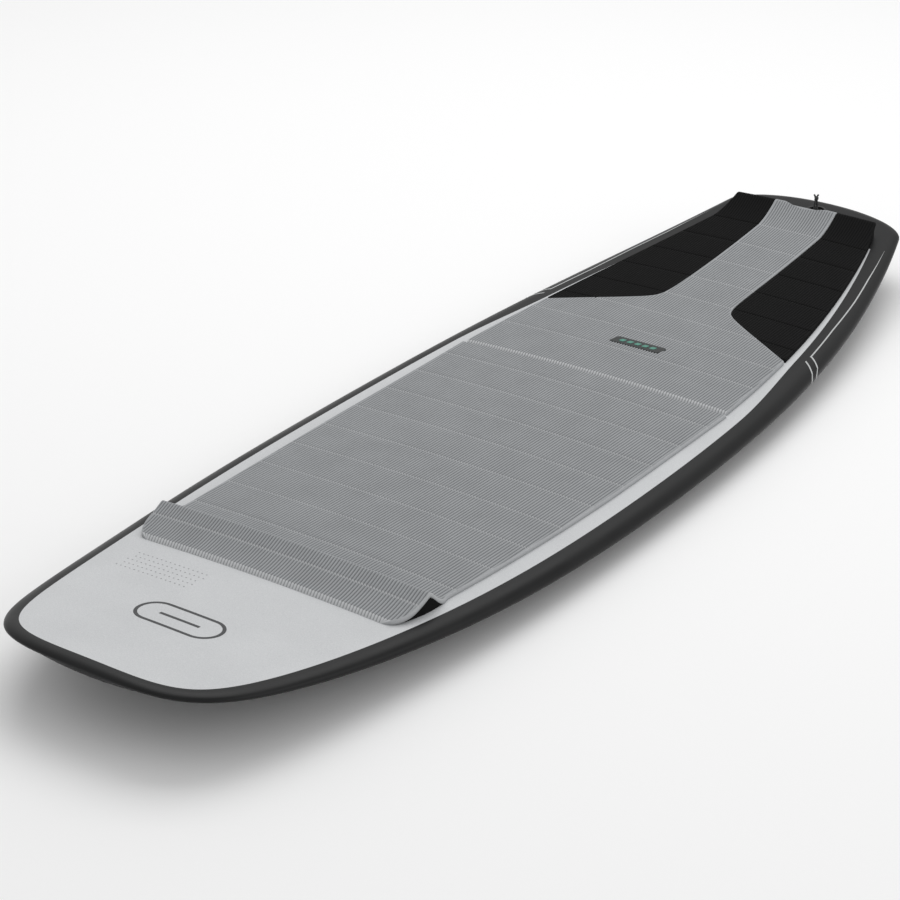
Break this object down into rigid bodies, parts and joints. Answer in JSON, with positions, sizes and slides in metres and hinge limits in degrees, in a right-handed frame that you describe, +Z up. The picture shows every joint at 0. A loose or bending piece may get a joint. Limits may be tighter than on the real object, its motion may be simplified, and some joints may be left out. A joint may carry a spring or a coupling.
{
  "type": "kiteboard",
  "caption": "Strapless directional kiteboard with a foam core, laminated skins, ribbed traction pads, tail kick, leash loop and empty fin boxes.",
  "frame": {"origin": "under the middle of the board's length and width, at the lowest point of the bottom", "axes": "+X across the board, towards its starboard rail when the nose is pointed at the viewer, +Y from the nose to the tail, +Z up from the bottom to the deck"},
  "size_m": [0.4702, 1.523, 0.1056],
  "materials": {
    "eps_foam": "expanded bead foam",
    "stringer_wood": "light plywood",
    "bamboo_laminate": "bamboo veneer",
    "dense_foam": "dense PVC foam",
    "deck_lacquer": "matt speckled lacquer",
    "hull_lacquer": "satin black lacquer",
    "grey_eva": "ribbed EVA foam",
    "wedge_eva": "cut EVA foam",
    "black_eva": "ribbed EVA foam",
    "badge_rubber": "moulded rubber",
    "fin_box_plastic": "moulded nylon",
    "stainless_steel": "brushed",
    "loop_cord": "braided cord"
  },
  "bodies": {
    "board": {"foam_core_left": "eps_foam", "foam_core_right": "eps_foam", "stringer": "stringer_wood", "standing_area_laminate": "bamboo_laminate", "fin_box_block_left": "dense_foam", "fin_box_block_right": "dense_foam", "fin_box_block_centre": "dense_foam", "leash_plug_block": "dense_foam", "deck_skin": "deck_lacquer", "hull_skin": "hull_lacquer", "front_pad": "grey_eva", "front_ridge_wedge": "wedge_eva", "rear_pad_centre": "grey_eva", "rear_pad_left": "black_eva", "rear_pad_right": "black_eva", "tail_kick_wedge": "wedge_eva", "pad_badge": "badge_rubber", "fin_box_left": "fin_box_plastic", "fin_box_right": "fin_box_plastic", "fin_box_centre": "fin_box_plastic", "fin_screws": "stainless_steel", "leash_plug_cup": "fin_box_plastic", "leash_plug_pin": "stainless_steel"},
    "leash_loop": {"leash_loop": "loop_cord", "leash_loop_knot": "loop_cord"}
  },
  "joints": [
    {"name": "leash_loop_swing", "type": "hinge", "parent": "board", "child": "leash_loop", "pos_m": [0, 0.727, 0.07551], "axis": [1, 0, 0], "range_deg": [-36, 40]}
  ]
}
